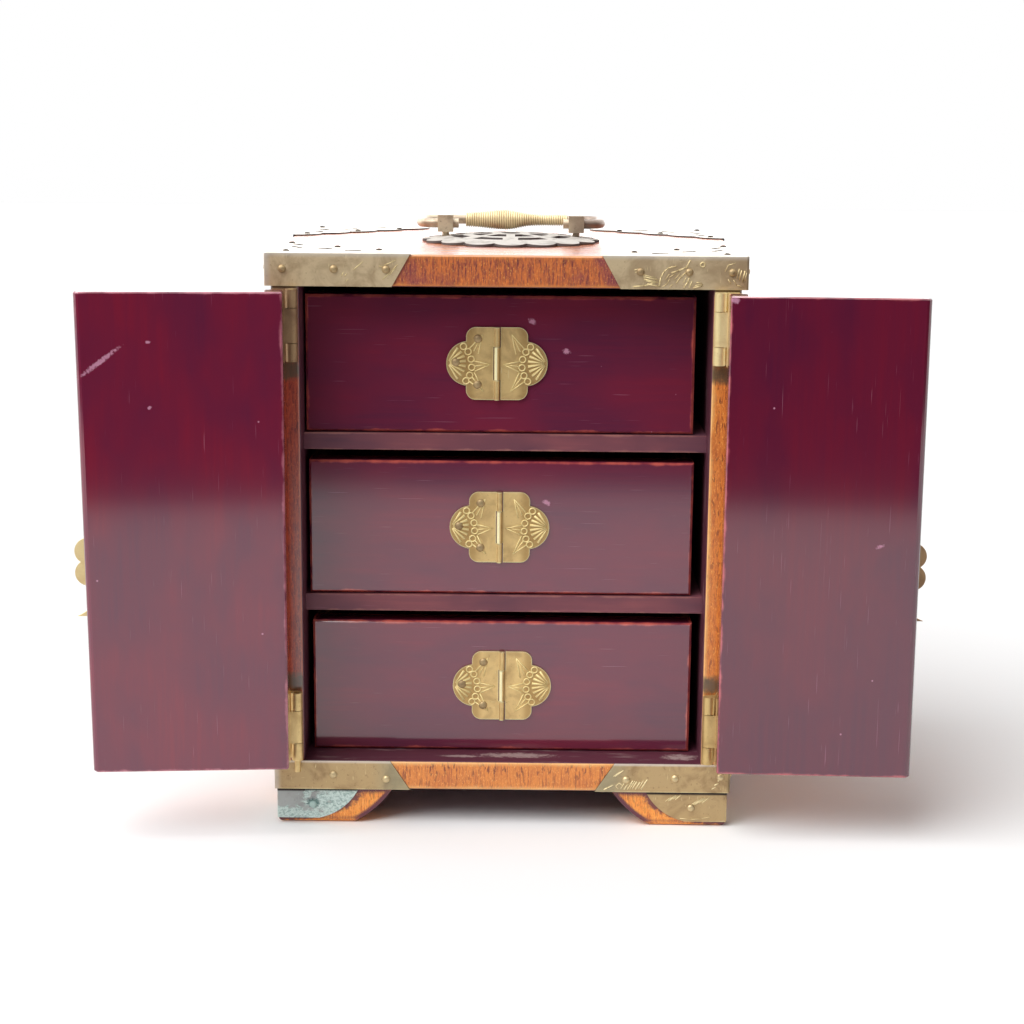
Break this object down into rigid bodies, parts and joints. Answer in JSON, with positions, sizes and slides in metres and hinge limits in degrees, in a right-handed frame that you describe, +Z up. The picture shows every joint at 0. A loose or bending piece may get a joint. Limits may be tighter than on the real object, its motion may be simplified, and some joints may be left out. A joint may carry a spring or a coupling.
{
  "type": "jewelry cabinet",
  "caption": "Small brass-bound hardwood jewelry cabinet with two hinged doors, drawers with hinged brass pulls, bracket feet and a folding carrying handle.",
  "frame": {"origin": "on the floor, under the middle of the open cabinet's outline", "axes": "+X to the viewer's right, +Y from the doors to the back, +Z up"},
  "size_m": [0.2956, 0.1566, 0.2144],
  "materials": {
    "amber_wood": "amber lacquered hardwood",
    "maroon_lacquer": "deep maroon semi-gloss lacquer",
    "plain_wood": "plain stained board",
    "old_brass": "aged engraved sheet brass",
    "bright_brass": "warm brass",
    "dark_bronze": "dark patinated openwork"
  },
  "bodies": {
    "case": {"top_board": "amber_wood", "bottom_board": "amber_wood", "left_side_panel": "amber_wood", "right_side_panel": "amber_wood", "back_panel": "amber_wood", "lower_shelf": "maroon_lacquer", "upper_shelf": "maroon_lacquer", "right_front_foot": "amber_wood", "right_front_foot_mount": "old_brass", "right_front_top_mount": "old_brass", "right_front_base_mount": "old_brass", "left_front_foot": "amber_wood", "left_front_foot_mount": "old_brass", "left_front_top_mount": "old_brass", "left_front_base_mount": "old_brass", "right_rear_foot": "amber_wood", "right_rear_foot_mount": "old_brass", "right_rear_top_mount": "old_brass", "right_rear_base_mount": "old_brass", "left_rear_foot": "amber_wood", "left_rear_foot_mount": "old_brass", "left_rear_top_mount": "old_brass", "left_rear_base_mount": "old_brass", "top_medallion": "dark_bronze", "handle_posts": "old_brass", "left_upper_hinge_case_leaf": "bright_brass", "left_lower_hinge_case_leaf": "bright_brass", "right_upper_hinge_case_leaf": "bright_brass", "right_lower_hinge_case_leaf": "bright_brass", "hinge_pins": "bright_brass"},
    "handle": {"handle_bail": "old_brass", "handle_grip": "old_brass"},
    "left_door": {"left_door_panel": "maroon_lacquer", "left_upper_hinge_door_leaf": "bright_brass", "left_lower_hinge_door_leaf": "bright_brass", "left_pull_staple": "bright_brass"},
    "left_drop": {"left_drop_pull": "bright_brass"},
    "right_door": {"right_door_panel": "maroon_lacquer", "right_upper_hinge_door_leaf": "bright_brass", "right_lower_hinge_door_leaf": "bright_brass", "right_pull_staple": "bright_brass"},
    "right_drop": {"right_drop_pull": "bright_brass"},
    "lower_drawer": {"lower_drawer_front": "maroon_lacquer", "lower_drawer_frame": "plain_wood", "lower_drawer_bottom": "plain_wood", "lower_pull_plate": "bright_brass", "lower_pull_pin": "bright_brass"},
    "lower_tab": {"lower_pull_tab": "bright_brass"},
    "middle_drawer": {"middle_drawer_front": "maroon_lacquer", "middle_drawer_frame": "plain_wood", "middle_drawer_bottom": "plain_wood", "middle_pull_plate": "bright_brass", "middle_pull_pin": "bright_brass"},
    "middle_tab": {"middle_pull_tab": "bright_brass"},
    "upper_drawer": {"upper_drawer_front": "maroon_lacquer", "upper_drawer_frame": "plain_wood", "upper_drawer_bottom": "plain_wood", "upper_pull_plate": "bright_brass", "upper_pull_pin": "bright_brass"},
    "upper_tab": {"upper_pull_tab": "bright_brass"}
  },
  "joints": [
    {"name": "left_door_hinge", "type": "hinge", "parent": "case", "child": "left_door", "pos_m": [-0.073, -0.06124, 0.10845], "axis": [0, 0, -1], "range_deg": [-175.5, 12.5]},
    {"name": "right_door_hinge", "type": "hinge", "parent": "case", "child": "right_door", "pos_m": [0.073, -0.06124, 0.10845], "axis": [0, 0, 1], "range_deg": [-178, 10]},
    {"name": "left_drop_swing", "type": "hinge", "parent": "left_door", "child": "left_drop", "pos_m": [-0.14047, -0.06685, 0.11045], "axis": [0.9969, 0.0785, 0], "range_deg": [0, 80]},
    {"name": "right_drop_swing", "type": "hinge", "parent": "right_door", "child": "right_drop", "pos_m": [0.1389, -0.06244, 0.11045], "axis": [0.9994, -0.0349, 0], "range_deg": [0, 80]},
    {"name": "lower_drawer_slide", "type": "slide", "parent": "case", "child": "lower_drawer", "axis": [0, -1, 0], "range_m": [0, 0.08]},
    {"name": "lower_tab_swing", "type": "hinge", "parent": "lower_drawer", "child": "lower_tab", "pos_m": [-0.0005, -0.04679, 0.0483], "axis": [0, 0, -1], "range_deg": [0, 95]},
    {"name": "middle_drawer_slide", "type": "slide", "parent": "case", "child": "middle_drawer", "axis": [0, -1, 0], "range_m": [0, 0.08]},
    {"name": "middle_tab_swing", "type": "hinge", "parent": "middle_drawer", "child": "middle_tab", "pos_m": [-0.0018, -0.04679, 0.1068], "axis": [0, 0, -1], "range_deg": [0, 95]},
    {"name": "upper_drawer_slide", "type": "slide", "parent": "case", "child": "upper_drawer", "axis": [0, -1, 0], "range_m": [0, 0.08]},
    {"name": "upper_tab_swing", "type": "hinge", "parent": "upper_drawer", "child": "upper_tab", "pos_m": [-0.0031, -0.04679, 0.1653], "axis": [0, 0, -1], "range_deg": [0, 95]},
    {"name": "handle_fold", "type": "hinge", "parent": "case", "child": "handle", "pos_m": [0.001, 0.00956, 0.2105], "axis": [1, 0, 0], "range_deg": [0, 180]}
  ]
}
